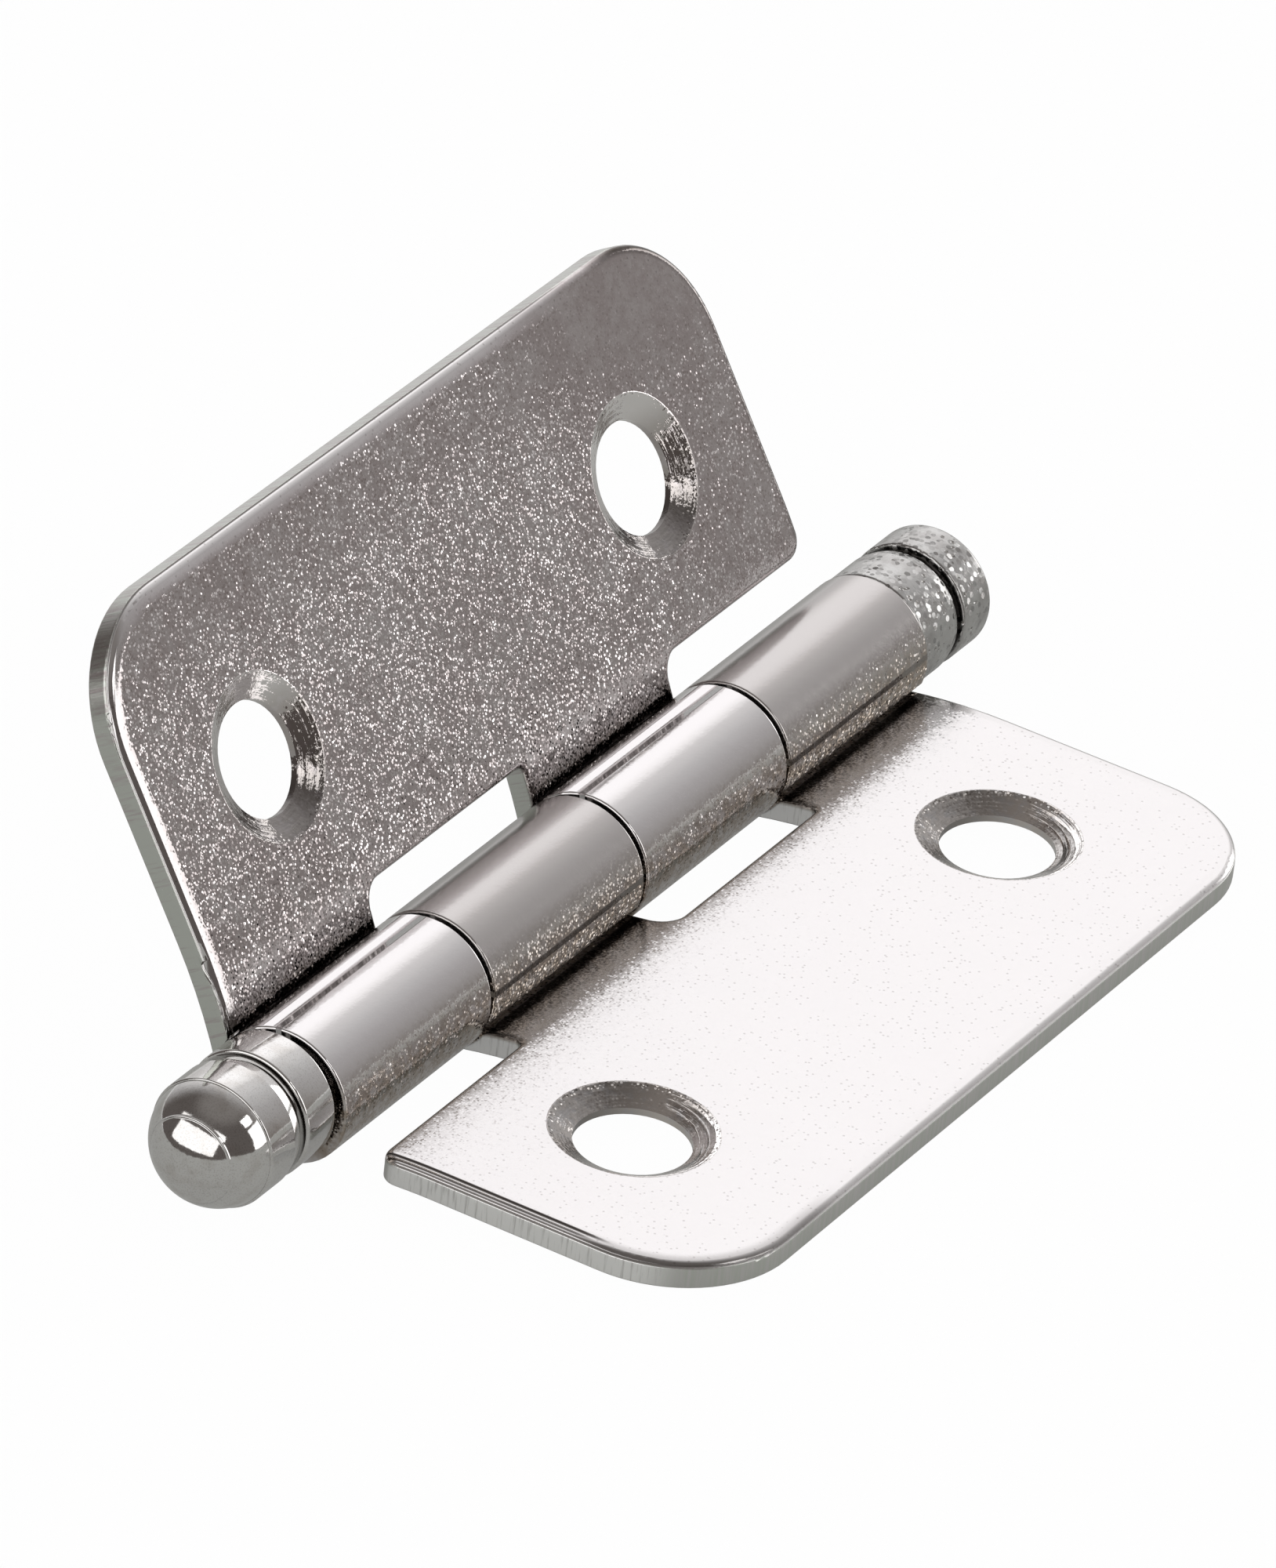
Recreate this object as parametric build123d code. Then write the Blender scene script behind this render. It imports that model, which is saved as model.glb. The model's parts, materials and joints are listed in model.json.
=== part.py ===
from build123d import *
import math
import os

# Pressed steel leaf, millimetres. Reaches are measured from the pin's axis.
leaf_length = 40.0
leaf_reach = 17.9
sheet = 1.0
outer_corner_radius = 4.8
inner_corner_radius = 0.85
edge_rolloff = 0.28
edge_break = 0.1
end_play = 0.2

# Screw holes, countersunk from the front face down to a short land, and deburred at the back
hole_reach = 10.05
hole_spacing = 25.5
hole_diameter = 4.3
hole_land = 0.26
hole_back_bevel = 0.22
countersink_angle = 122.0

# Pin, and the knuckles rolled round it
pin_diameter = 3.2
pin_clearance = 0.05
pin_chamfer = 0.2
knuckle_count = 4
knuckle_gap = 0.24
front_border_shift = 0.4
swage_depth = 0.77
swage_reach = 6.2
roll_gap = 0.08

# Notches that let the other leaf's knuckles turn past
notch_clearance = 1.25
notch_front_radius = 0.9
notch_rear_radius = 0.25

# Finials pressed on the ends of the pin, a little off its axis
finial_diameter = 5.0
groove_width = 0.3
groove_depth = 0.35
finial_edge_radius = 0.12
shoulder_length = 0.55
shoulder_depth = 0.12
socket_clearance = 0.02
socket_end_wall = 1.0
socket_end_gap = 0.2

# Front finial: collar, groove, head and dome with a raised nose
front_gap = 0.3
front_offset = 0.2
front_collar_length = 1.8
front_head_length = 2.05
dome_lip = 0.08
dome_height = 2.0
nose_radius = 1.67
nose_rise = 0.12

# Rear finial: collar, groove and plain head
rear_gap = 0.08
rear_offset = 0.1
rear_collar_length = 2.6
rear_head_length = 2.0
rear_head_round = 0.25

# Nick in the swing leaf's rear edge
nick_reach = 12.5
nick_length = 0.75
nick_depth = 0.14

# Angle between the two front faces, with the hinge standing part open
opening_angle = 121.7

# Worked out from the sizes above
bore_radius = pin_diameter / 2 + pin_clearance
roll_radius = bore_radius + sheet / 2
knuckle_radius = bore_radius + sheet
face_drop = bore_radius - swage_depth
back_drop = face_drop + sheet
notch_reach = knuckle_radius + notch_clearance
half_length = leaf_length / 2
knuckle_pitch = leaf_length / knuckle_count
cone_slope = math.tan(math.radians(countersink_angle / 2))
countersink_radius = hole_diameter / 2 + (sheet - hole_land - hole_back_bevel) * cone_slope
bevel_radius = hole_diameter / 2 + hole_back_bevel * cone_slope
socket_radius = pin_diameter / 2 + socket_clearance
finial_radius = finial_diameter / 2

# The swaged bend is an arc tangent to the flat leaf and to the roll, worked at mid thickness
middle_drop = face_drop + sheet / 2
swage_radius = (swage_reach**2 + middle_drop**2 - roll_radius**2) / (2 * swage_depth)
swage_angle = math.degrees(math.asin(swage_reach / (roll_radius + swage_radius)))

# The origin lies on the fixed leaf's back face, midway between its screw holes
pin_place = Pos(-hole_reach, 0, back_drop)


def sheet_section():
    """Section across the pin: flat leaf, swaged bend, then the roll round the pin."""
    bend_centre = (swage_reach, -middle_drop - swage_radius)
    roll_start = swage_angle - 90
    roll_end = -math.degrees(math.asin((face_drop - roll_gap) / knuckle_radius))
    roll_sweep = 360 + roll_start - roll_end
    outer_roll = CenterArc((0, 0), knuckle_radius, roll_start, -roll_sweep)
    inner_roll = CenterArc((0, 0), bore_radius, roll_end, roll_sweep)
    edges = [
        Line((leaf_reach, -face_drop), (leaf_reach, -back_drop)),
        Line((leaf_reach, -back_drop), (swage_reach, -back_drop)),
        CenterArc(bend_centre, swage_radius - sheet / 2, 90, swage_angle),
        outer_roll,
        Line(outer_roll @ 1, inner_roll @ 0),
        inner_roll,
        CenterArc(bend_centre, swage_radius + sheet / 2, 90 + swage_angle, -swage_angle),
        Line((swage_reach, -face_drop), (leaf_reach, -face_drop)),
    ]
    return Plane.XZ * make_face(edges)


def knuckle_border(slot):
    """Place along the pin of the border at the front of a slot."""
    shift = front_border_shift if slot == 1 else 0
    return slot * knuckle_pitch - half_length - shift


def knuckle_ends(slot, leaf_ends):
    """Front and rear end of one knuckle, the outermost ones flush with their leaf."""
    front = leaf_ends[0] if slot == 0 else knuckle_border(slot) + knuckle_gap / 2
    rear = leaf_ends[1] if slot == knuckle_count - 1 else knuckle_border(slot + 1) - knuckle_gap / 2
    return front, rear


def rectangle(x_low, x_high, y_low, y_high):
    """Rectangle between two opposite corners."""
    return Pos((x_low + x_high) / 2, (y_low + y_high) / 2) * Rectangle(x_high - x_low, y_high - y_low)


def round_corners(outline, x, y_places, radius):
    """Round the outline's corners that stand at x and at any of the y places."""
    corners = [
        corner
        for corner in outline.vertices()
        if abs(corner.X - x) < 1e-5 and any(abs(corner.Y - y) < 1e-5 for y in y_places)
    ]
    return fillet(corners, radius) if corners else outline


def blank_outline(slots, leaf_ends):
    """Plan of the stamped blank, with a tab at each slot where a knuckle is rolled."""
    ends = [knuckle_ends(slot, leaf_ends) for slot in slots]
    fronts = [front for front, rear in ends if front > leaf_ends[0]]
    rears = [rear for front, rear in ends if rear < leaf_ends[1]]
    outline = rectangle(notch_reach, leaf_reach, *leaf_ends)
    for front, rear in ends:
        outline += rectangle(-knuckle_radius - sheet, leaf_reach / 2, front, rear)
    outline = round_corners(outline, leaf_reach, leaf_ends, outer_corner_radius)
    outline = round_corners(outline, notch_reach, leaf_ends, inner_corner_radius)
    outline = round_corners(outline, notch_reach, rears, notch_front_radius)
    return round_corners(outline, notch_reach, fronts, notch_rear_radius)


def skin_edges(leaf, flat_drop, bend_radius, skin_radius):
    """Outline edges of one side of the sheet, without those at the roll's cut end."""
    skin = [
        face
        for face in leaf.faces().filter_by(GeomType.PLANE).filter_by(Axis.Z)
        if abs(face.center().Z + flat_drop) < 1e-5
    ]
    for face in leaf.faces().filter_by(GeomType.CYLINDER):
        if min(abs(face.radius - bend_radius), abs(face.radius - skin_radius)) < 1e-5:
            skin.append(face)
    edges = [edge for face in skin for edge in face.edges()]
    outline = [edge for edge in edges if sum(edge.is_same(other) for other in edges) == 1]
    at_cut_end = [edge for edge in outline if abs((edge % 0.5).Y) > 0.99 and edge.center().X < knuckle_radius]
    return [edge for edge in outline if edge not in at_cut_end]


def countersunk_hole():
    """Tool for one screw hole, its axis along Z and its rim at the front face."""
    cone_depth = countersink_radius / cone_slope
    cone = Pos(0, 0, -cone_depth / 2) * Cone(0, countersink_radius, cone_depth)
    bevel_height = bevel_radius / cone_slope
    bevel = Pos(0, 0, bevel_height / 2 - sheet) * Cone(bevel_radius, 0, bevel_height)
    return cone + bevel + Cylinder(hole_diameter / 2, 4 * sheet)


def pressed_leaf(slots, slide):
    """One leaf about the pin's axis, lying along +X with its front face up, slid along the pin."""
    leaf_ends = (slide - half_length, slide + half_length)
    strip = extrude(sheet_section(), leaf_length, both=True)
    leaf = strip & extrude(blank_outline(slots, leaf_ends), 2 * knuckle_radius, both=True)
    front_rim = skin_edges(leaf, face_drop, swage_radius + sheet / 2, bore_radius)
    leaf = fillet(front_rim, edge_rolloff)
    back_rim = skin_edges(leaf, back_drop, swage_radius - sheet / 2, knuckle_radius)
    leaf = fillet(back_rim, edge_break)
    for y in (slide - hole_spacing / 2, slide + hole_spacing / 2):
        leaf -= Pos(hole_reach, y, -face_drop) * countersunk_hole()
    return leaf


def edge_nick(leaf_end):
    """Tool for the shallow nick in a leaf's rear edge."""
    radius = (nick_length**2 / 4 + nick_depth**2) / (2 * nick_depth)
    return Pos(nick_reach, leaf_end + radius - nick_depth, -face_drop) * Cylinder(radius, 4 * sheet)


def finial_section(collar_length, head_length, shoulder_on_head):
    """Half section of a grooved finial: X is the radius, Y runs outward from the knuckle."""
    groove_radius = finial_radius - groove_depth
    shoulder_radius = finial_radius - shoulder_depth
    groove_end = collar_length + groove_width
    shoulder = groove_end if shoulder_on_head else collar_length
    full = shoulder + (shoulder_length if shoulder_on_head else -shoulder_length)
    section = rectangle(0, finial_radius, 0, groove_end + head_length)
    section -= rectangle(groove_radius, finial_radius + groove_depth, collar_length, groove_end)
    wedge = [(finial_radius, full), (finial_radius, shoulder), (shoulder_radius, shoulder)]
    section -= make_face(Polyline(*wedge, close=True))
    section = round_corners(section, finial_radius, (0, collar_length, groove_end), finial_edge_radius)
    return round_corners(section, shoulder_radius, (shoulder,), finial_edge_radius)


def front_finial():
    """Turned finial with a domed head, its collar's inner face at Y 0."""
    base = front_collar_length + groove_width + front_head_length
    tip = base + dome_height
    base_radius = finial_radius - dome_lip
    dome_radius = (base_radius**2 + dome_height**2) / (2 * dome_height)
    dome_centre = tip - dome_radius
    nose_base = dome_centre + math.sqrt(dome_radius**2 - nose_radius**2)
    flank_radius = (base_radius + nose_radius) / 2
    flank = dome_centre + math.sqrt(dome_radius**2 - flank_radius**2)
    nose_height = tip + nose_rise - nose_base
    cap_radius = (nose_radius**2 + nose_height**2) / (2 * nose_height)
    half_nose = nose_base + nose_height - cap_radius + math.sqrt(cap_radius**2 - nose_radius**2 / 4)
    dome = make_face([
        Line((0, base), (base_radius, base)),
        ThreePointArc((base_radius, base), (flank_radius, flank), (nose_radius, nose_base)),
        ThreePointArc((nose_radius, nose_base), (nose_radius / 2, half_nose), (0, nose_base + nose_height)),
        Line((0, nose_base + nose_height), (0, base)),
    ])
    section = finial_section(front_collar_length, front_head_length, True)
    section = round_corners(section, finial_radius, (base,), dome_lip)
    return revolve(section + dome, Axis.Y)


def rear_finial():
    """Turned finial with a plain head, its collar's inner face at Y 0."""
    length = rear_collar_length + groove_width + rear_head_length
    section = finial_section(rear_collar_length, rear_head_length, False)
    section = round_corners(section, finial_radius, (length,), rear_head_round)
    return revolve(section, Axis.Y)


def socket_depth(collar_length, head_length):
    """Depth of a finial's socket, from its collar's inner face."""
    return collar_length + groove_width + head_length - socket_end_wall


def rod(radius, front, rear):
    """Plain rod on the pin's axis between two places along it."""
    return Pos(0, (front + rear) / 2, 0) * Rot(-90, 0, 0) * Cylinder(radius, rear - front)


front_face = -half_length - end_play - front_gap
rear_face = half_length + rear_gap
front_socket_end = front_face - socket_depth(front_collar_length, front_head_length)
rear_socket_end = rear_face + socket_depth(rear_collar_length, rear_head_length)
pin = rod(pin_diameter / 2, front_socket_end + socket_end_gap, rear_socket_end - socket_end_gap)
socket = rod(socket_radius, front_socket_end, rear_socket_end)
swing_leaf = pressed_leaf([0, 2], -end_play) - edge_nick(half_length - end_play)
swing_turn = Rot(0, 180 - opening_angle, 0)
front_seat = Pos(0, front_face, 0) * swing_turn * Pos(-front_offset, 0, 0) * Rot(0, 0, 180)
rear_seat = Pos(0, rear_face, 0) * swing_turn * Pos(-rear_offset, 0, 0)
nodes = {
    "fixed_leaf": pressed_leaf([1, 3], 0),
    "swing_leaf": swing_turn * mirror(swing_leaf, Plane.YZ),
    "hinge_pin": chamfer(pin.edges().filter_by(GeomType.CIRCLE), pin_chamfer),
    "front_finial": front_seat * front_finial() - socket,
    "rear_finial": rear_seat * rear_finial() - socket,
}

os.makedirs("parts", exist_ok=True)
for name, solid in nodes.items():
    export_step(pin_place * solid, f"parts/{name}.step")
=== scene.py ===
import bmesh
import bpy
import json
import math
from mathutils import Matrix, Vector
from types import SimpleNamespace


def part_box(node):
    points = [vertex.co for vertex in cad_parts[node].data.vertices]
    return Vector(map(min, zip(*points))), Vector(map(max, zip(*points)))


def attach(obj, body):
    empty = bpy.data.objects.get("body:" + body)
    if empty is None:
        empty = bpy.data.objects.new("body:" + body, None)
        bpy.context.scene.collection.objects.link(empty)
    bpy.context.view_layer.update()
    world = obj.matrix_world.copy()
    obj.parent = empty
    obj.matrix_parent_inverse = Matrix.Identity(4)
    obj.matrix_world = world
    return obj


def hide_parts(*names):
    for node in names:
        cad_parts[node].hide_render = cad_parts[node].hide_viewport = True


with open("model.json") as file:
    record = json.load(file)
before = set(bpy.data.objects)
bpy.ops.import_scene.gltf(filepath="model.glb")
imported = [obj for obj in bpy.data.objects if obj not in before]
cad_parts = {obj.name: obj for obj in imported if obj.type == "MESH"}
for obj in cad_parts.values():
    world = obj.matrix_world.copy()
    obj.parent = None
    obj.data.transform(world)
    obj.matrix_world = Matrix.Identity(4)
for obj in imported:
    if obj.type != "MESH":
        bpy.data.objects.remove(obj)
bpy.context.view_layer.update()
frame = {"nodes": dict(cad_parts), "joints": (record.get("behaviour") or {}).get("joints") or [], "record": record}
mounts = {mount["name"]: mount for mount in frame["record"]["mounts"]}
pinPlace = Vector(frame["joints"][0]["pos_m"])
swingFront = Vector(mounts["swing_leaf_screws"]["axis"])        # out of the raised leaf's front face
openingAngle = math.atan2(swingFront.x, -swingFront.z)
mmPerMetre = 1000
print("frame loaded:", ", ".join(sorted(frame["nodes"])))


# A socket that takes part in plain sums, each sum adding its Math node
class Wire:
    def __init__(self, sheet, socket):
        self.sheet = sheet
        self.socket = socket

    def sum(self, operation, *terms):
        return self.sheet.node("ShaderNodeMath", {"operation": operation}, dict(enumerate(terms)))

    def __add__(self, other):
        return self.sum("ADD", self, other)

    def __radd__(self, other):
        return self.sum("ADD", other, self)

    def __sub__(self, other):
        return self.sum("SUBTRACT", self, other)

    def __rsub__(self, other):
        return self.sum("SUBTRACT", other, self)

    def __mul__(self, other):
        return self.sum("MULTIPLY", self, other)

    def __rmul__(self, other):
        return self.sum("MULTIPLY", other, self)

    def __pow__(self, power):
        return self.sum("POWER", self, power)

    def __abs__(self):
        return self.sum("ABSOLUTE", self)

    # No lower than nothing
    def floored(self):
        return self.sum("MAXIMUM", self, 0.0)

    # A share from 0 to 1 squeezed to run from a floor to 1
    def above(self, floor):
        return floor + (1.0 - floor) * self

    # The angle whose tangent is this over the other
    def angleOver(self, other):
        return self.sum("ARCTAN2", self, other)

    # Another output of the same node
    def other(self, name):
        return Wire(self.sheet, self.socket.node.outputs[name])


# One node tree, and the one method that adds nodes to it
class NodeSheet:
    def __init__(self, tree):
        self.tree = tree
        tree.nodes.clear()

    def node(self, kind, settings=None, sockets=None, output=0):
        made = self.tree.nodes.new(kind)
        for name, value in (settings or {}).items():
            if name == "stops":
                self.setStops(made.color_ramp, value)
            else:
                setattr(made, name, value)
        for name, value in (sockets or {}).items():
            if isinstance(value, Wire):
                self.tree.links.new(value.socket, made.inputs[name])
            else:
                made.inputs[name].default_value = value
        return Wire(self, made.outputs[output]) if made.outputs else made

    def setStops(self, ramp, stops):
        while len(ramp.elements) < len(stops):
            ramp.elements.new(1.0)
        for element, (place, tint) in zip(ramp.elements, stops):
            element.position = place
            element.color = tint

    # 0 below low, 1 above high, smooth between
    def rise(self, value, low, high):
        sockets = {"Value": value, "From Min": low, "From Max": high}
        return self.node("ShaderNodeMapRange", {"interpolation_type": "SMOOTHSTEP"}, sockets)

    def fall(self, value, low, high):
        return 1.0 - self.rise(value, low, high)

    def split(self, vector):
        return [self.node("ShaderNodeSeparateXYZ", None, {0: vector}, output=axis) for axis in "XYZ"]

    def vectorSum(self, operation, sockets, output=0):
        return self.node("ShaderNodeVectorMath", {"operation": operation}, sockets, output)

    def mapping(self, kind, sockets):
        return self.node("ShaderNodeMapping", {"vector_type": kind}, sockets)

    def blend(self, share, first, second):
        sockets = {0: share, 6: first, 7: second}
        return self.node("ShaderNodeMix", {"data_type": "RGBA"}, sockets, output=2)

    def mixShaders(self, share, first, second):
        return self.node("ShaderNodeMixShader", None, {0: share, 1: first, 2: second})

    def noise(self, place, scale, detail=2.0):
        return self.node("ShaderNodeTexNoise", None, {"Vector": place, "Scale": scale, "Detail": detail})

    # Distance to the nearest of scattered points, about 0 to 1 within a cell
    def cells(self, place, scale):
        return self.node("ShaderNodeTexVoronoi", None, {"Vector": place, "Scale": scale}, output="Distance")

    # Normals for a height given in units of the distance, a millimetre unless said
    def bump(self, height, distance=0.001):
        sockets = {"Strength": 1.0, "Distance": distance, "Height": height}
        return self.node("ShaderNodeBump", None, sockets, output="Normal")

    # Scattered small facets, each leaning its own way by up to half the amount
    def facets(self, normal, place, scale, amount, edge=(0.49, 0.52)):
        near = self.cells(place, scale)
        lean = self.vectorSum("SUBTRACT", {0: near.other("Color"), 1: (0.5, 0.5, 0.5)})
        lean = self.vectorSum("SCALE", {0: lean, "Scale": amount * self.fall(near, *edge)})
        tipped = self.vectorSum("ADD", {0: normal, 1: lean})
        return self.vectorSum("NORMALIZE", {0: tipped})


def colour(red, green, blue):
    return (red, green, blue, 1.0)


white = colour(1, 1, 1)


def newFinish(name):
    material = bpy.data.materials.new(name)
    material.use_nodes = True
    return material, NodeSheet(material.node_tree)


def closeFinish(sheet, tone, roughness, normal):
    sockets = {"Base Color": tone, "Metallic": 1.0, "Roughness": roughness, "Normal": normal}
    metal = sheet.node("ShaderNodeBsdfPrincipled", None, sockets)
    sheet.node("ShaderNodeOutputMaterial", None, {"Surface": metal})


# Unit vector from the hinge, in degrees round from its front and up
def wayTo(azimuth, elevation):
    turn = math.radians(azimuth)
    lift = math.radians(elevation)
    return Vector((math.sin(turn) * math.cos(lift), -math.cos(turn) * math.cos(lift), math.sin(lift)))


# Camera
cameraLook = {
    "azimuth": 27.982,          # degrees
    "elevation": 31.387,
    "roll": 6.641,
    "distance": 0.586831,       # metres from the aim point
    "aim": (-0.009277, 0.002016, 0.004494),
    "focalPixels": 20848.46,
    "frameHeight": 2000,        # pixels, on a frame 1628 wide
    "sensor": 36.0,
    "clip": (0.01, 20.0),
}


def addCamera(look):
    turn = math.radians(look["azimuth"])
    roll = math.radians(look["roll"])
    back = wayTo(look["azimuth"], look["elevation"])
    level = Vector((math.cos(turn), math.sin(turn), 0.0))
    right = level * math.cos(roll) + back.cross(level) * math.sin(roll)
    axes = Matrix((right, back.cross(right), back)).transposed()
    data = bpy.data.cameras.new("productCamera")
    data.sensor_width = look["sensor"]
    data.lens = look["focalPixels"] / look["frameHeight"] * look["sensor"]
    data.clip_start, data.clip_end = look["clip"]
    camera = bpy.data.objects.new("productCamera", data)
    camera.matrix_world = Matrix.Translation(Vector(look["aim"]) + back * look["distance"]) @ axes.to_4x4()
    bpy.context.scene.collection.objects.link(camera)
    bpy.context.scene.camera = camera


addCamera(cameraLook)
print("camera placed")


# Studio: a pale floor that the hinge lies on, soft lamps and the room that the metal mirrors
studio = {
    "floorHalf": 1.5,
    "floorTilt": 2.48,          # the hinge lies on its barrel and the flat leaf's edge
    "floorGap": 0.00002,
    "barrelRadius": 0.00265,
    "floorTint": colour(0.40, 0.41, 0.38),
    "paleTint": colour(0.9, 0.9, 0.9),
    "whiteShare": 0.98,         # of white that the camera sees, the rest is floor and takes the shadow
    "mirroredShare": 0.24,      # of the white backdrop that the metal shows
    "litShare": 0.55,           # more of it where the floor lies under the glow
    "litFrom": (0.02, 0.12),    # metres out under the glow
    "glowAzimuth": -152,
    "glowElevation": 31.5,
    "glowLevel": 1.42,
    "glow": [                   # by the cosine from the middle of the glow, in parts of its level
        (0.00, colour(0.085, 0.072, 0.064)),
        (0.25, colour(0.20, 0.185, 0.175)),
        (0.41, colour(0.28, 0.27, 0.265)),
        (0.59, colour(0.34, 0.33, 0.33)),
        (0.77, colour(0.46, 0.455, 0.455)),
        (0.914, colour(0.62, 0.61, 0.61)),
        (0.956, colour(0.88, 0.87, 0.87)),
        (0.985, colour(1.0, 0.99, 1.0)),
    ],
    "front": colour(0.09, 0.08, 0.075),
    "ceiling": colour(0.17, 0.158, 0.15),
    "ceilingFrom": (0.7, 0.97),     # upward part of the way there
    "backFrom": (0.0, 0.6),         # backward part, where the glow takes over from the dim front
}
lamps = [                           # each a metre off, with sizes in metres
    {"name": "frontWindow", "azimuth": -11, "elevation": 29, "width": 1.95, "height": 0.7, "glow": 1.42},
    {"name": "rightWindow", "azimuth": 107, "elevation": 20, "width": 0.56, "height": 0.58, "glow": 1.7},
    {"name": "backWindow", "azimuth": 164, "elevation": 9, "width": 0.42, "height": 0.4, "glow": 2.4},
    {"name": "highWindow", "azimuth": 98, "elevation": 47, "width": 0.3, "height": 0.22, "glow": 2.4},
]


# Mirrored rays see a share of the white backdrop
def backdropShare(sheet, look):
    glossy = sheet.node("ShaderNodeLightPath", output="Is Glossy Ray")
    through = sheet.node("ShaderNodeLightPath", output="Is Transmission Ray")
    spot = sheet.node("ShaderNodeTexCoord", output="Object")
    out = sheet.vectorSum("DOT_PRODUCT", {0: spot, 1: wayTo(look["glowAzimuth"], 0)}, "Value")
    share = look["mirroredShare"] + look["litShare"] * sheet.rise(out, *look["litFrom"])
    return share * (glossy + through)


# The camera looks through the floor to the white room, so a leaf folded under the hinge stays in view
def floorFinish(look):
    material, sheet = newFinish("palePaper")
    paper = sheet.node("ShaderNodeBsdfDiffuse", None, {"Color": look["floorTint"]})
    pale = sheet.node("ShaderNodeBsdfDiffuse", None, {"Color": look["paleTint"]})
    bright = sheet.node("ShaderNodeEmission", None, {"Color": white, "Strength": 1.0})
    clear = sheet.node("ShaderNodeBsdfTransparent")
    backdrop = sheet.mixShaders(look["whiteShare"], pale, bright)
    mirrored = sheet.mixShaders(backdropShare(sheet, look), paper, backdrop)
    faint = sheet.mixShaders(look["whiteShare"], pale, clear)
    seen = sheet.node("ShaderNodeLightPath", output="Is Camera Ray")
    sheet.node("ShaderNodeOutputMaterial", None, {"Surface": sheet.mixShaders(seen, mirrored, faint)})
    return material


def addFloor(look):
    work = bmesh.new()
    bmesh.ops.create_grid(work, x_segments=1, y_segments=1, size=look["floorHalf"])
    tilt = Matrix.Rotation(math.radians(-look["floorTilt"]), 4, "Y")
    drop = Matrix.Translation((0.0, 0.0, -look["barrelRadius"] - look["floorGap"]))
    bmesh.ops.transform(work, matrix=Matrix.Translation(pinPlace) @ tilt @ drop, verts=work.verts)
    mesh = bpy.data.meshes.new("paleFloor")
    work.to_mesh(mesh)
    work.free()
    floor = bpy.data.objects.new("paleFloor", mesh)
    bpy.context.scene.collection.objects.link(floor)
    mesh.materials.append(floorFinish(look))


def addRoom(look):
    world = bpy.data.worlds.new("studioRoom")
    bpy.context.scene.world = world
    world.use_nodes = True
    sheet = NodeSheet(world.node_tree)
    way = sheet.node("ShaderNodeTexCoord", output="Generated")
    middle = wayTo(look["glowAzimuth"], look["glowElevation"])
    toGlow = sheet.vectorSum("DOT_PRODUCT", {0: way, 1: middle}, "Value")
    toBack, toTop = sheet.split(way)[1:]
    glow = sheet.node("ShaderNodeValToRGB", {"stops": look["glow"]}, {"Fac": toGlow})
    dim = sheet.blend(sheet.rise(toTop, *look["ceilingFrom"]), look["front"], look["ceiling"])
    walls = sheet.blend(sheet.rise(toBack, *look["backFrom"]), dim, glow)
    room = sheet.node("ShaderNodeBackground", None, {"Color": walls, "Strength": look["glowLevel"]})
    bright = sheet.node("ShaderNodeBackground", None, {"Color": white, "Strength": 1.0})
    seen = sheet.node("ShaderNodeLightPath", output="Is Camera Ray")
    sheet.node("ShaderNodeOutputWorld", None, {"Surface": sheet.mixShaders(seen, room, bright)})


def addLamp(look):
    data = bpy.data.lights.new(look["name"], "AREA")
    data.shape = "RECTANGLE"
    data.size = look["width"]
    data.size_y = look["height"]
    data.energy = look["glow"] * math.pi * look["width"] * look["height"]
    lamp = bpy.data.objects.new(look["name"], data)
    way = wayTo(look["azimuth"], look["elevation"])
    lamp.matrix_world = Matrix.Translation(way) @ way.to_track_quat("Z", "Y").to_matrix().to_4x4()
    bpy.context.scene.collection.objects.link(lamp)


addFloor(studio)
addRoom(studio)
for look in lamps:
    addLamp(look)
print("studio lit")


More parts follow.
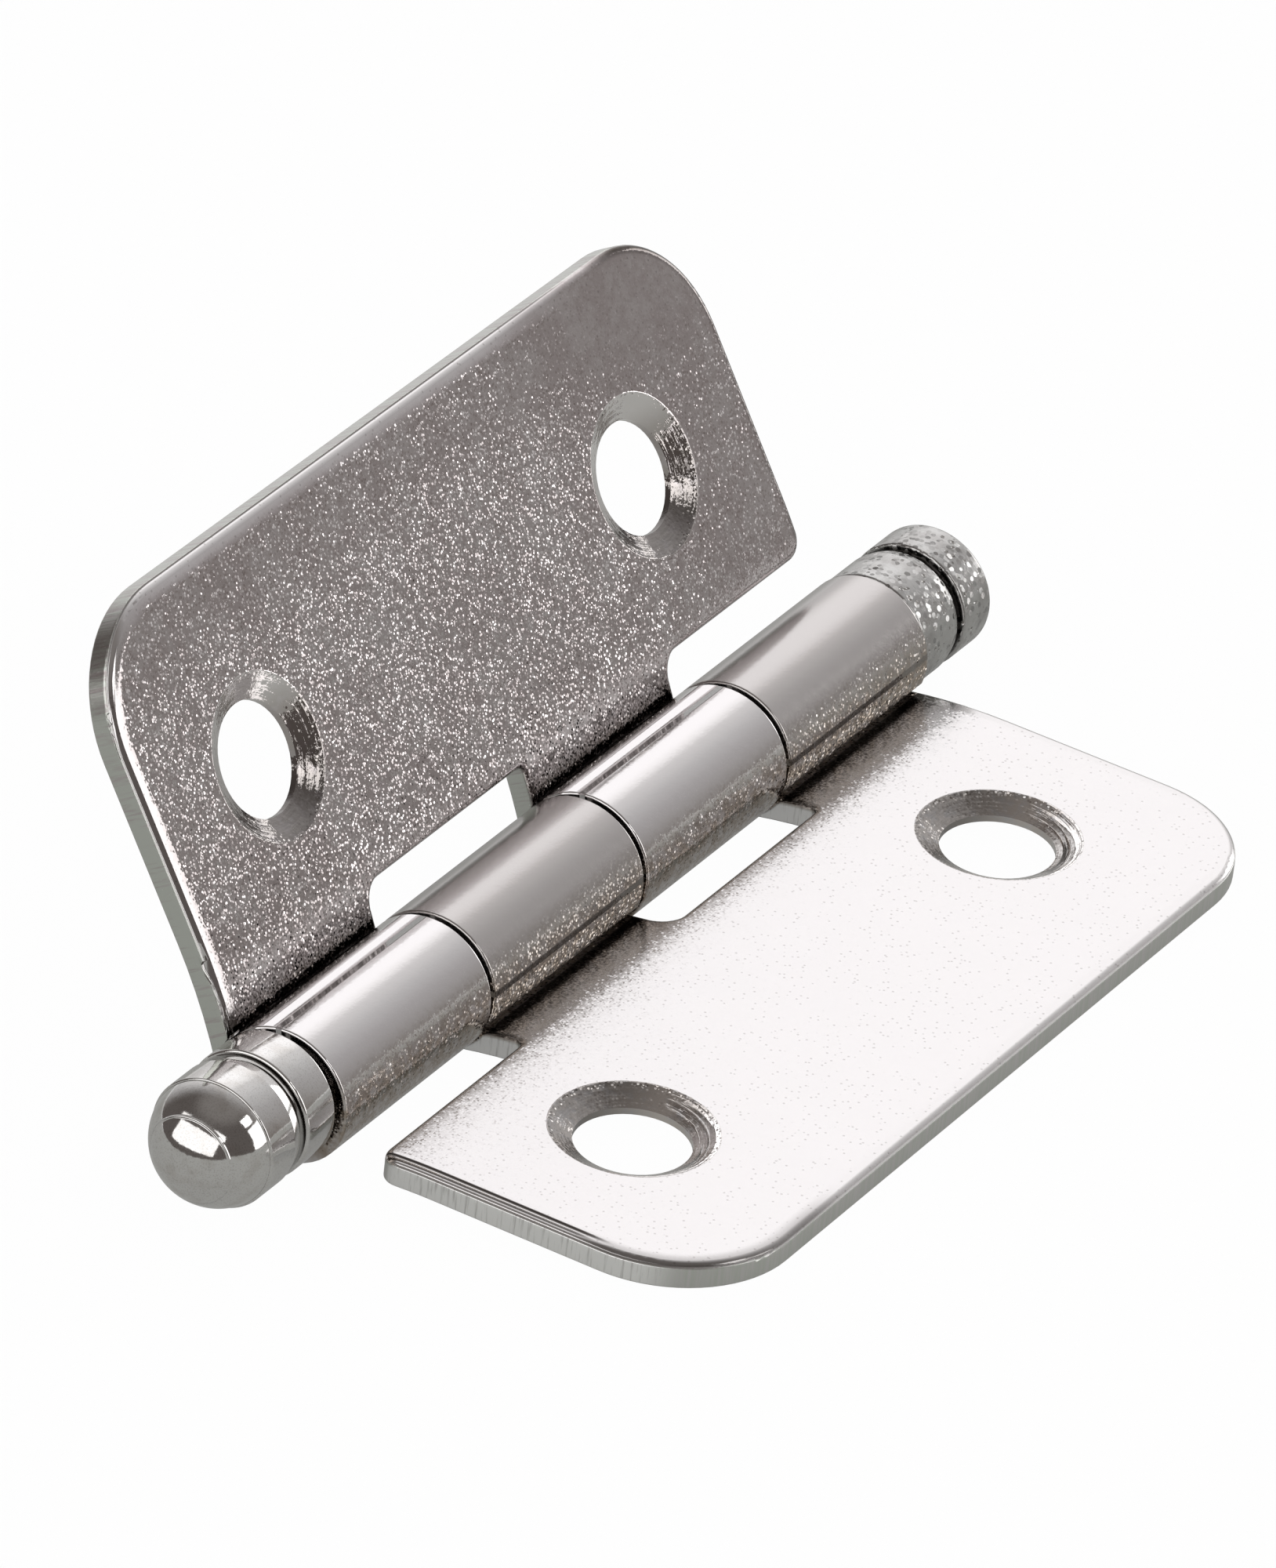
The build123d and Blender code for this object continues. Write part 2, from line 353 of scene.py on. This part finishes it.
# Leaves: nickel over pressed steel, with a fine bright grain, sheared edges and turned countersinks.
# Pairs are the two ends of a soft step, and everything on a leaf is in millimetres.
leafLook = {
    "nickel": colour(0.69, 0.672, 0.67),
    "lowBarrelShade": colour(0.37, 0.315, 0.265),         # painted shade along the lower side of the barrel, as the hinge lies
    "coneShadeTint": colour(0.14, 0.13, 0.125),      # painted shade on a countersink's wall towards the pin
    "coneShadeShare": 0.65,
    "coneHighlightTint": colour(0.88, 0.86, 0.85),     # painted highlight on the wall away from it
    "coneHighlightShare": 0.8,
    "cutEdge": colour(0.60, 0.62, 0.58),
    # Near black painted shade: in the fold beside the barrel and in the dark lines along the edges
    "grime": colour(0.045, 0.034, 0.026),
    "speck": colour(0.26, 0.24, 0.23),
    "speckShare": 0.4,
    "halfLength": 20.0,
    "reach": 17.9,
    "cornerRadius": 4.8,
    "holeReach": 10.05,
    "holeHalfSpacing": 12.75,
    "countersinkRadius": 3.09,
    "knuckleRadius": 2.65,
    "knuckleLength": 10.0,
    "coneEdge": (-0.04, 0.03),                  # beyond the countersink's radius
    "coneRim": (0.05, 0.3),                     # to either side of it
    "coneShadeAcross": (-2.4, 0.2),              # from the hole's middle, away from the pin
    "coneHighlightAcross": (0.6, 2.4),
    "burrAcross": (-0.4, 1.4),
    "burrEdge": (-0.75, -0.35),                 # beyond the countersink's radius
    "burrPatches": (0.46, 0.52),
    "rolledEdge": (0.03, 0.12),                 # beyond the knuckle's radius
    "lowBarrelFrom": (-2.5, -1.5),                   # over the pin as the hinge lies
    "lowBarrelTo": (0.2, 1.9),
    "lowBarrelAside": (0.0, 0.9),                    # to the flat leaf's side of the pin
    "cutFacing": (0.3, 0.65),                   # upward part of a face's normal
    "frontFacing": (-0.2, 0.2),
    "endFacing": (-0.97, -0.8),                 # its part along the pin
    "edgeRoll": (0.05, 0.75),                   # in from the leaf's outline
    "darkRimInset": (0.1, 0.45),
    "darkRimShare": 0.95,
    "cornerReach": (11.5, 13.5),                # where the front edge runs into the corner
    "frontHalf": (0.0, 1.0),                    # along the pin
    "frontCorner": (-14.0, -11.0),
    # Share of the painted shade line at the front corner
    "cornerLineShare": 0.6,
    "grooveInset": 0.33,                        # the pressed line near the front edge
    "grooveHalf": (0.0, 0.22),
    "lineOffset": 0.12,                         # painted shade lines to either side of it
    "lineWidth": (0.02, 0.07),
    # Where painted shade darkens the fold beside the barrel, frayed by a noise
    "foldReach": (2.6, 3.8),
    "foldFray": 2.2,
    "joinedWave": (-0.5, 0.1),
    "glintReach": (11.5, 16.0),
    "glintReachFloor": 0.4,
    "glintAlongFloor": 0.3,
    "glintBase": 0.8,
    "glintBroad": 0.4,
    "footReach": (3.5, 6.5),
    "rimGlintPower": 3.0,                       # how fast the glints die towards the rim
    "broadScale": 0.55,
    "middlingScale": 2.6,
    "fineScale": 11.0,
    "shearScale": 7.0,
    "shearStretch": (1, 1, 0.08),
    "turnedRound": 0.9,                         # cutter marks, round the hole and out from it
    "turnedOut": 7.0,
    "specksPerMm": 3.6,
    "speckSize": (0.08, 0.24),
    "facetsPerMm": 10.0,
    "patchBroad": 0.6,                          # of the tarnish patches, the rest is middling
    "patchEdge": (0.38, 0.6),
    "patchFloor": 0.65,
    "lowBarrelShadeEdge": (0.35, 0.6),                    # levels of a noise, here and below
    "lowBarrelShadeFloor": 0.5,
    "conePatches": (0.3, 0.55),
    "cutStreaks": (0.25, 0.7),
    "frontStreaks": (0.3, 0.5),
    "fineRoughness": 0.1,
    "cutRoughness": 0.14,
    "coneRoughness": -0.06,
    "fineHeight": 0.002,
    "middlingHeight": 0.004,
    "turnedHeight": 0.014,
    "coneHeight": 0.02,
    "shearHeight": 0.008,
}
fixedLeafLook = {
    "finish": "flatLeafNickel",
    "mirror": 1.0,
    "turn": 0.0,
    "slide": 0.0,
    "roughness": 0.2,
    "edgeRollDepth": 0.05,
    # Darker tone in noise patches on the face: tarnish patches here
    "tarnish": colour(0.62, 0.605, 0.60),
    "tarnishShare": 0.2,
    # The knuckles are toned darker than the face's nickel: painted shade
    "barrel": colour(0.51, 0.487, 0.478),
    # Strength of the painted shade in the fold beside the barrel
    "grime": 1.0,
    "glint": 0.1,
    "glintEnd": (40.0, 41.0),               # along the pin, where the glints thin out; here past the leaf
    "joinedSide": -1,                       # of the wave of knuckles, where this leaf runs into the barrel
    "bend": (-0.34, 0.1, 0.2),              # radians round the barrel, a line left by the bend
    "bendMark": 0.4,
    "edgeGroove": 0.1,
    # Strength of the painted shade lines along the front edge's groove and corner
    "edgeLine": 0.85,
    "rimEnd": (40.0, 41.0),                 # along the pin, where the rolled rim dies out
    "darkRim": (40.0, 41.0),                # and where a rim of painted shade takes its place
    "cone": colour(0.70, 0.655, 0.62),
    "coneGlint": 0.35,
    "coneRimGlint": 0.7,
    "burr": 0.45,
    # Near white painted reflection of the bright floor on the front cut face
    "frontEdge": colour(0.97, 0.97, 0.96),
    "footGlint": 0.05,                      # extra beside the barrel
    "barrelGlint": 1.05,                    # on the barrel's lower side
}
swingLeafLook = {
    "finish": "raisedLeafNickel",
    "mirror": -1.0,
    "turn": math.pi - openingAngle,
    "slide": mounts["swing_leaf_screws"]["pos_m"][1] * mmPerMetre,
    "roughness": 0.11,
    "edgeRollDepth": 0.16,
    # The raised leaf's face is toned darker almost all over than the same nickel on its knuckles: painted shade,
    # with tarnish patches
    "tarnish": colour(0.475, 0.428, 0.424),
    "tarnishShare": 0.95,
    "barrel": colour(0.69, 0.67, 0.67),
    # Strength of the painted shade in the fold beside the barrel
    "grime": 0.9,
    "glint": 0.66,
    "glintEnd": (3.0, 16.0),
    "joinedSide": 1,
    "bend": (0.0, 0.34, 0.44),
    "bendMark": 0.3,
    "edgeGroove": 0.0,
    "edgeLine": 0.0,
    "rimEnd": (6.0, 14.0),
    "darkRim": (13.5, 16.0),
    "cone": colour(0.49, 0.455, 0.435),
    "coneGlint": 0.18,
    "coneRimGlint": 0.3,
    "burr": 0.0,
    # Plain cut-edge tone here, with no painted reflection
    "frontEdge": colour(0.60, 0.62, 0.58),
    "footGlint": 0.0,
    "barrelGlint": 0.45,
}


def beyond(size, step):
    return [size + part for part in step]


# Place and facing in the leaf's own frame, which has reach from the pin, along it and up,
# then how far aside of the pin and over it, as the hinge lies
def leafMapping(sheet, look):
    spot = sheet.node("ShaderNodeTexCoord", output="Object")
    normal = sheet.node("ShaderNodeTexCoord", output="Normal")
    turn = (0.0, look["turn"], 0.0)
    scale = (mmPerMetre * look["mirror"], mmPerMetre, mmPerMetre)
    axes = Matrix.Rotation(look["turn"], 3, "Y") @ Matrix.Diagonal(scale)
    sockets = {"Vector": spot, "Location": -(axes @ pinPlace), "Rotation": turn, "Scale": scale}
    place = sheet.mapping("POINT", sockets)
    facing = sheet.mapping("VECTOR", {"Vector": normal, "Rotation": turn, "Scale": (look["mirror"], 1, 1)})
    aside, over = sheet.split(spot)[::2]
    return place, facing, mmPerMetre * (aside - pinPlace.x), mmPerMetre * (over - pinPlace.z)


# Where on the leaf: measures first, then shares from 0 to 1
def leafPlaces(sheet, common, look):
    place, facing, asidePin, overPin = leafMapping(sheet, look)
    reach, along, up = sheet.split(place)
    faceAlong, faceUp = sheet.split(facing)[1:]
    sideways = abs(along - look["slide"])
    countersink = common["countersinkRadius"]
    holeAlong = sideways - common["holeHalfSpacing"]
    holeAcross = reach - common["holeReach"]
    holeRadius = (holeAlong * holeAlong + holeAcross * holeAcross) ** 0.5
    pinRadius = (reach * reach + up * up) ** 0.5
    pastAlong = (sideways - (common["halfLength"] - common["cornerRadius"])).floored()
    pastReach = (reach - (common["reach"] - common["cornerRadius"])).floored()
    inset = common["cornerRadius"] - (pastAlong * pastAlong + pastReach * pastReach) ** 0.5

    cone = sheet.fall(holeRadius, *beyond(countersink, common["coneEdge"]))
    rolled = sheet.fall(pinRadius, *beyond(common["knuckleRadius"], common["rolledEdge"]))
    lowBarrel = rolled * sheet.fall(overPin, *common["lowBarrelTo"]) * sheet.rise(overPin, *common["lowBarrelFrom"])
    cut = sheet.fall(abs(faceUp), *common["cutFacing"]) * (1.0 - rolled) * (1.0 - cone)
    frontFace = sheet.rise(faceUp, *common["frontFacing"]) * (1.0 - cut) * (1.0 - rolled)
    rim = frontFace * sheet.fall(inset, *common["edgeRoll"]) * sheet.fall(along, *look["rimEnd"])
    frontRim = sheet.fall(reach, *common["cornerReach"]) * sheet.fall(along, *common["frontHalf"])
    frontRim = frontFace * frontRim
    fromGroove = abs(inset - common["grooveInset"])
    corner = sheet.rise(reach, *common["cornerReach"]) * sheet.fall(along, *common["frontCorner"])
    wave = along.sum("SINE", along * (math.pi / common["knuckleLength"]))
    return SimpleNamespace(
        place=place, reach=reach, along=along,
        holeAcross=holeAcross, holeRadius=holeRadius,
        holeAngle=holeAlong.angleOver(holeAcross),
        bendAngle=up.angleOver(reach),
        cone=cone,
        coneRim=sheet.fall(abs(holeRadius - countersink), *common["coneRim"]),
        rolled=rolled,
        lowBarrel=lowBarrel * sheet.rise(asidePin, *common["lowBarrelAside"]),
        cut=cut,
        frontCut=cut * sheet.fall(faceAlong, *common["endFacing"]),
        plain=(1.0 - cone) * (1.0 - cut),
        rim=rim,
        # Painted shade lines to either side of the pressed groove
        frontShadeLines=frontRim * sheet.fall(abs(fromGroove - common["lineOffset"]), *common["lineWidth"]),
        frontCorner=rim * corner,
        groove=frontRim * sheet.fall(fromGroove, *common["grooveHalf"]),
        # Painted shade along the rim where the rolled rim dies out
        darkRim=frontFace * sheet.fall(inset, *common["darkRimInset"]) * sheet.rise(along, *look["darkRim"]),
        joined=sheet.rise(look["joinedSide"] * wave, *common["joinedWave"]),
    )


def leafGrain(sheet, common, at):
    shearPlace = sheet.mapping("POINT", {"Vector": at.place, "Scale": common["shearStretch"]})
    turnedSockets = {"X": common["turnedRound"] * at.holeAngle, "Y": common["turnedOut"] * at.holeRadius}
    turnedPlace = sheet.node("ShaderNodeCombineXYZ", None, turnedSockets)
    return SimpleNamespace(
        broad=sheet.noise(at.place, common["broadScale"], detail=3.0),
        middling=sheet.noise(at.place, common["middlingScale"], detail=3.0),
        fine=sheet.noise(at.place, common["fineScale"]),
        shear=sheet.noise(shearPlace, common["shearScale"], detail=3.0),
        turned=sheet.noise(turnedPlace, scale=1.0, detail=4.0),
        specks=sheet.fall(sheet.cells(at.place, common["specksPerMm"]), *common["speckSize"]),
    )


def leafTone(sheet, common, look, at, grain):
    flat = (1.0 - at.rolled) * at.plain
    # Painted shade in the fold where the leaf runs into the barrel
    frayed = at.reach + common["foldFray"] * (grain.fine - 0.5)
    foldShade = sheet.fall(frayed, *common["foldReach"]) * flat * at.joined
    patches = (1.0 - common["patchBroad"]) * grain.middling + common["patchBroad"] * grain.broad
    patches = sheet.rise(patches, *common["patchEdge"]).above(common["patchFloor"])
    # Painted shade in blotches along the barrel's lower side
    lowBarrel = at.lowBarrel * sheet.rise(grain.middling, *common["lowBarrelShadeEdge"]).above(common["lowBarrelShadeFloor"])
    # Painted shade on the countersink's wall towards the pin, painted highlight on the wall away from it
    coneShade = common["coneShadeShare"] * at.cone * sheet.fall(at.holeAcross, *common["coneShadeAcross"])
    bright = common["coneHighlightShare"] * at.cone * sheet.rise(at.holeAcross, *common["coneHighlightAcross"])
    # Painted shade lines beside the front groove and at the corner
    lines = at.frontShadeLines + common["cornerLineShare"] * at.frontCorner
    layers = [                              # each over the ones before
        # Tarnish patches, and on the raised leaf a near even painted shade over the face
        (look["tarnishShare"] * patches * (1.0 - at.rolled) * (1.0 - at.rim), look["tarnish"]),
        (at.rolled, look["barrel"]),
        (lowBarrel, common["lowBarrelShade"]),
        (at.cone * sheet.rise(grain.middling, *common["conePatches"]), look["cone"]),
        (coneShade, common["coneShadeTint"]),
        (bright, common["coneHighlightTint"]),
        (common["speckShare"] * grain.specks * flat, common["speck"]),
        (at.cut * sheet.rise(grain.shear, *common["cutStreaks"]), common["cutEdge"]),
        # The front cut face: on the flat leaf a painted reflection of the floor in front
        (at.frontCut * sheet.rise(grain.shear, *common["frontStreaks"]), look["frontEdge"]),
        # Painted shade: the fold, the dark lines beside the front groove and corner, and the dark rim
        (look["grime"] * foldShade, common["grime"]),
        (look["edgeLine"] * lines, common["grime"]),
        (common["darkRimShare"] * at.darkRim, common["grime"]),
    ]
    tone = common["nickel"]
    for share, tint in layers:
        tone = sheet.blend(share, tone, tint)
    return tone


# How far the facets lean
def leafGlint(sheet, common, look, at, grain):
    alongShare = sheet.fall(at.along, *look["glintEnd"]).above(common["glintAlongFloor"])
    reachShare = sheet.fall(at.reach, *common["glintReach"]).above(common["glintReachFloor"])
    swell = common["glintBase"] + common["glintBroad"] * grain.broad
    flat = look["glint"] * alongShare * reachShare * swell
    flat = flat + look["footGlint"] * sheet.fall(at.reach, *common["footReach"])
    barrel = look["barrelGlint"] * at.lowBarrel
    cone = look["coneGlint"] * grain.middling + look["coneRimGlint"] * at.coneRim
    offRim = (1.0 - at.rim) ** common["rimGlintPower"]
    return at.plain * ((1.0 - at.rolled) * flat + barrel) * offRim + at.cone * cone


def leafHeight(sheet, common, look, at, grain):
    countersink = common["countersinkRadius"]
    burr = sheet.rise(at.holeAcross, *common["burrAcross"]) * sheet.rise(grain.turned, *common["burrPatches"])
    burr = burr * sheet.rise(at.holeRadius, *beyond(countersink, common["burrEdge"]))
    burr = look["burr"] * burr * (countersink - at.holeRadius)
    bendStart, bendFloor, bendEnd = look["bend"]
    bend = sheet.rise(at.bendAngle, bendStart, bendFloor) * sheet.fall(at.bendAngle, bendFloor, bendEnd)
    flat = common["fineHeight"] * grain.fine + common["middlingHeight"] * grain.middling
    cone = common["turnedHeight"] * grain.turned + common["coneHeight"] * grain.middling + burr
    height = at.plain * (1.0 - at.rim) * flat + at.cone * cone
    height = height + common["shearHeight"] * at.cut * grain.shear
    height = height - look["edgeRollDepth"] * at.rim
    return height - look["bendMark"] * bend * at.rolled - look["edgeGroove"] * at.groove


def leafFinish(common, look):
    material, sheet = newFinish(look["finish"])
    at = leafPlaces(sheet, common, look)
    grain = leafGrain(sheet, common, at)
    tone = leafTone(sheet, common, look, at, grain)
    roughness = look["roughness"] + common["fineRoughness"] * (grain.fine - 0.5)
    roughness = roughness + common["cutRoughness"] * at.cut + common["coneRoughness"] * at.cone
    normal = sheet.bump(leafHeight(sheet, common, look, at, grain))
    glint = leafGlint(sheet, common, look, at, grain)
    normal = sheet.facets(normal, at.place, common["facetsPerMm"], glint)
    closeFinish(sheet, tone, roughness, normal)
    return material


for name, look in (("fixed_leaf", fixedLeafLook), ("swing_leaf", swingLeafLook)):
    mesh = frame["nodes"][name].data
    mesh.materials.clear()
    mesh.materials.append(leafFinish(leafLook, look))
print("leaves finished")


# Finials, turned in the lathe's way: a half section spun about the pin
frontFinialLook = {
    "node": "front_finial",
    "slot": "polished_finial",
    "finish": "polishedNickel",
    "radius": 0.0025,
    "collar": 0.0018,
    "head": 0.00205,
    "shoulderOnHead": True,
    "lip": 0.00008,                 # rounded edge between head and dome
    "dome": 0.0020,
    "noseRadius": 0.00167,
    "noseRise": 0.00012,
    "outward": -1,
    "nickel": colour(0.70, 0.69, 0.68),
    "smeared": colour(0.62, 0.60, 0.58),
    "smearScale": 1.3,
    "smearEdge": (0.45, 0.7),
    "smearRoughness": 0.06,
    "smearHeight": 0.01,            # millimetres, as the other heights
    "grit": colour(0.40, 0.385, 0.37),
    "gritScale": 17.0,
    "gritEdge": (0.5, 0.68),
    "gritShare": 0.35,
    "speckScale": 9.0,
    "speckEdge": (0.55, 0.7),
    "speckRoughness": 0.03,
    "speckHeight": 0.0006,
    "latheScale": 14.0,
    "latheHeight": 0.0006,
    "roughness": 0.05,
    # Near black painted shade in the groove's floor
    "dirt": colour(0.05, 0.045, 0.04),
    "dirtFrom": (1.78, 1.82),       # millimetres out from the seat, in the groove
    "dirtTo": (2.1, 2.14),
    "noseRingWidth": (0.0, 0.055),
    "noseRingFrom": (4.3, 4.5),
    "noseRingHeight": 0.03,
}
rearFinialLook = {
    "node": "rear_finial",
    "slot": "pitted_finial",
    "finish": "pittedNickel",
    "radius": 0.0025,
    "collar": 0.0026,
    "head": 0.0020,
    "shoulderOnHead": False,
    "headRound": 0.00025,
    "outward": 1,
    "nickel": colour(0.50, 0.495, 0.485),
    "smeared": colour(0.41, 0.40, 0.39),
    "smearScale": 1.1,
    "smearEdge": (0.4, 0.65),
    "fineScale": 10.0,
    "fineRoughness": 0.14,
    "fineHeight": 0.005,
    "pit": colour(0.22, 0.205, 0.19),
    "pitShare": 0.8,
    "pitsPerMm": 3.1,
    "pitSize": (0.12, 0.3),
    "pitRoughness": 0.1,
    "pitDepth": 0.02,
    "clusterScale": 2.4,            # the pits stand in clusters
    "clusterEdge": (0.44, 0.56),
    "roughness": 0.17,
    # Near black painted shade in the groove's floor
    "dirt": colour(0.03, 0.028, 0.026),
    "dirtFrom": (2.56, 2.6),
    "dirtTo": (2.9, 2.94),
    "facetsPerMm": 4.0,
    "glint": 0.6,
}
turning = {
    "groove": 0.0003,
    "grooveDepth": 0.00035,
    "edgeRound": 0.00012,
    "shoulder": 0.00055,
    "shoulderDepth": 0.00012,
    "lipShare": 0.97,               # of the lip that is rounded, so that the dome's foot stays
    "steps": 192,
    "arcSteps": 24,
    "roundSteps": 6,
    "sameRing": 1e-7,
    "sameSpot": 1e-8,
    "dirtDepth": (2.3, 2.44),       # millimetres from the axis
}


def addLine(work, last, corners):
    for radius, along in corners:
        fresh = work.verts.new((radius, along, 0.0))
        if last is not None:
            work.edges.new((last, fresh))
        last = fresh
    return last


# Arc from the last point about a centre on the axis
def addArc(work, last, centre, sweep, steps):
    spun = bmesh.ops.spin(work, geom=[last], cent=(0, centre, 0), axis=(0, 0, 1), angle=sweep, steps=steps)
    return [part for part in spun["geom_last"] if isinstance(part, bmesh.types.BMVert)][0]


# Dome with a flatter nose, from the head's end at base, and the rings where the form breaks
def addDome(work, last, look, common, base):
    foot = look["radius"] - look["lip"]
    domeRadius = (foot ** 2 + look["dome"] ** 2) / (2 * look["dome"])
    centre = base + look["dome"] - domeRadius
    nose = look["noseRadius"]
    noseFoot = centre + math.sqrt(domeRadius ** 2 - nose ** 2)
    noseHeight = base + look["dome"] + look["noseRise"] - noseFoot
    capRadius = (nose ** 2 + noseHeight ** 2) / (2 * noseHeight)
    last = addLine(work, last, [(foot, base)])
    domeSweep = math.acos(nose / domeRadius) - math.atan2(base - centre, foot)
    last = addArc(work, last, centre, domeSweep, common["arcSteps"])
    noseSweep = math.pi / 2 - math.acos(nose / capRadius)
    addArc(work, last, noseFoot + noseHeight - capRadius, noseSweep, common["arcSteps"])
    return [(foot, base), (nose, noseFoot)]


def ringEdges(work, radius, along, slack):
    def onRing(vert):
        return abs(math.hypot(vert.co.x, vert.co.z) - radius) < slack and abs(vert.co.y - along) < slack
    return [edge for edge in work.edges if all(onRing(vert) for vert in edge.verts)]


def roundRing(work, common, radius, along, offset):
    bmesh.ops.bevel(work, geom=ringEdges(work, radius, along, common["sameRing"]), offset=offset,
                    segments=common["roundSteps"], profile=0.5, affect="EDGES", material=-1)


def turnFinial(work, look, common):
    radius = look["radius"]
    floor = radius - common["grooveDepth"]
    narrow = radius - common["shoulderDepth"]
    collar = look["collar"]
    grooveEnd = collar + common["groove"]
    base = grooveEnd + look["head"]
    grooveFloor = [(floor, collar), (floor, grooveEnd)]
    if look["shoulderOnHead"]:
        shoulder, neck, plainEdge = grooveEnd + common["shoulder"], grooveEnd, collar
        corners = [(radius, plainEdge)] + grooveFloor + [(narrow, neck), (radius, shoulder)]
    else:
        shoulder, neck, plainEdge = collar - common["shoulder"], collar, grooveEnd
        corners = [(radius, shoulder), (narrow, neck)] + grooveFloor + [(radius, plainEdge)]
    last = addLine(work, None, [(0.0, 0.0), (radius, 0.0)] + corners + [(radius, base)])
    creases = [(radius, shoulder)]
    if "dome" in look:
        creases += addDome(work, last, look, common, base)
        headRound = look["lip"] * common["lipShare"]
    else:
        addLine(work, last, [(0.0, base)])
        headRound = look["headRound"]
    bmesh.ops.spin(work, geom=work.verts[:] + work.edges[:], cent=(0, 0, 0), axis=(0, 1, 0), angle=math.tau,
                   steps=common["steps"], use_merge=True)
    bmesh.ops.remove_doubles(work, verts=work.verts, dist=common["sameSpot"])
    roundRing(work, common, radius, base, headRound)
    for ringRadius, along in ((radius, 0.0), (radius, plainEdge), (narrow, neck)):
        roundRing(work, common, ringRadius, along, common["edgeRound"])
    bmesh.ops.recalc_face_normals(work, faces=work.faces)
    for face in work.faces:
        face.smooth = True
    for ringRadius, along in creases:
        for edge in ringEdges(work, ringRadius, along, common["sameRing"]):
            edge.smooth = False


def addFinial(look, common):
    work = bmesh.new()
    turnFinial(work, look, common)
    low, high = (Vector(corner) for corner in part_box(look["node"]))
    seat = (low + high) / 2
    seat.y = low.y if look["outward"] > 0 else high.y
    turn = Matrix.Rotation(0.0 if look["outward"] > 0 else math.pi, 4, "Z")
    bmesh.ops.transform(work, matrix=Matrix.Translation(seat) @ turn, verts=work.verts)
    mesh = bpy.data.meshes.new(look["node"] + "Turned")
    work.to_mesh(mesh)
    work.free()
    finial = bpy.data.objects.new(look["node"] + "Turned", mesh)
    bpy.context.scene.collection.objects.link(finial)
    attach(finial, "fixed")
    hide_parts(look["node"])
    return finial, seat


# Millimetres about a finial's own axis: the place, how far out along the axis, and the radius
def finialMapping(sheet, seat, outward):
    spot = sheet.node("ShaderNodeTexCoord", output="Object")
    scale = (mmPerMetre, mmPerMetre, mmPerMetre)
    place = sheet.mapping("POINT", {"Vector": spot, "Location": seat * -mmPerMetre, "Scale": scale})
    across, along, up = sheet.split(place)
    return place, along * outward, (across * across + up * up) ** 0.5


# Painted shade, near black, in the floor of the groove between collar and head
def grooveShadeMask(sheet, look, common, along, radius):
    deep = sheet.fall(radius, *common["dirtDepth"])
    return deep * sheet.fall(along, *look["dirtTo"]) * sheet.rise(along, *look["dirtFrom"])


def polishedFinish(look, common, seat):
    material, sheet = newFinish(look["finish"])
    place, along, radius = finialMapping(sheet, seat, look["outward"])
    smear = sheet.noise(place, look["smearScale"], detail=3.0)
    specks = sheet.noise(place, look["speckScale"])
    grit = sheet.noise(place, look["gritScale"])
    rings = sheet.node("ShaderNodeCombineXYZ", None, {"X": radius, "Y": along})
    lathe = sheet.noise(rings, look["latheScale"])
    tone = sheet.blend(sheet.rise(smear, *look["smearEdge"]), look["nickel"], look["smeared"])
    tone = sheet.blend(look["gritShare"] * sheet.rise(grit, *look["gritEdge"]), tone, look["grit"])
    tone = sheet.blend(grooveShadeMask(sheet, look, common, along, radius), tone, look["dirt"])
    roughness = look["roughness"] + look["smearRoughness"] * smear
    roughness = roughness + look["speckRoughness"] * sheet.rise(specks, *look["speckEdge"])
    noseRing = sheet.fall(abs(radius - look["noseRadius"] * mmPerMetre), *look["noseRingWidth"])
    noseRing = noseRing * sheet.rise(along, *look["noseRingFrom"])
    height = look["latheHeight"] * lathe + look["speckHeight"] * specks
    height = height + look["smearHeight"] * smear + look["noseRingHeight"] * noseRing
    closeFinish(sheet, tone, roughness, sheet.bump(height))
    return material


def pittedFinish(look, common, seat):
    material, sheet = newFinish(look["finish"])
    place, along, radius = finialMapping(sheet, seat, look["outward"])
    smear = sheet.noise(place, look["smearScale"], detail=3.0)
    fine = sheet.noise(place, look["fineScale"])
    clusters = sheet.rise(sheet.noise(place, look["clusterScale"], detail=1.0), *look["clusterEdge"])
    pits = sheet.fall(sheet.cells(place, look["pitsPerMm"]), *look["pitSize"]) * clusters
    tone = sheet.blend(sheet.rise(smear, *look["smearEdge"]), look["nickel"], look["smeared"])
    tone = sheet.blend(look["pitShare"] * pits, tone, look["pit"])
    tone = sheet.blend(grooveShadeMask(sheet, look, common, along, radius), tone, look["dirt"])
    roughness = look["roughness"] + look["fineRoughness"] * fine + look["pitRoughness"] * pits
    normal = sheet.bump(look["fineHeight"] * fine - look["pitDepth"] * pits)
    normal = sheet.facets(normal, place, look["facetsPerMm"], look["glint"])
    closeFinish(sheet, tone, roughness, normal)
    return material


for look, finish in ((frontFinialLook, polishedFinish), (rearFinialLook, pittedFinish)):
    finial, seat = addFinial(look, turning)
    finial.data.materials.append(finish(look, turning, seat))
print("finials turned")


# Pin: drawn steel, seen only in the gaps between the knuckles
pinLook = {
    "finish": "drawnSteel",
    "dark": colour(0.42, 0.40, 0.38),
    "light": colour(0.56, 0.54, 0.52),
    "stretch": (1000, 40, 1000),    # long along the pin
    "lineScale": 5.0,
    "lineDepth": 0.000004,
    "roughness": 0.3,
    "lineRoughness": 0.15,
}


def drawnFinish(look):
    material, sheet = newFinish(look["finish"])
    spot = sheet.node("ShaderNodeTexCoord", output="Object")
    place = sheet.mapping("POINT", {"Vector": spot, "Scale": look["stretch"]})
    lines = sheet.noise(place, look["lineScale"], detail=3.0)
    tone = sheet.blend(lines, look["dark"], look["light"])
    roughness = look["roughness"] + look["lineRoughness"] * lines
    closeFinish(sheet, tone, roughness, sheet.bump(lines, look["lineDepth"]))
    return material


pinMesh = frame["nodes"]["hinge_pin"].data
pinMesh.materials.clear()
pinMesh.materials.append(drawnFinish(pinLook))
print("pin finished")

bpy.context.scene.view_settings.view_transform = "Standard"
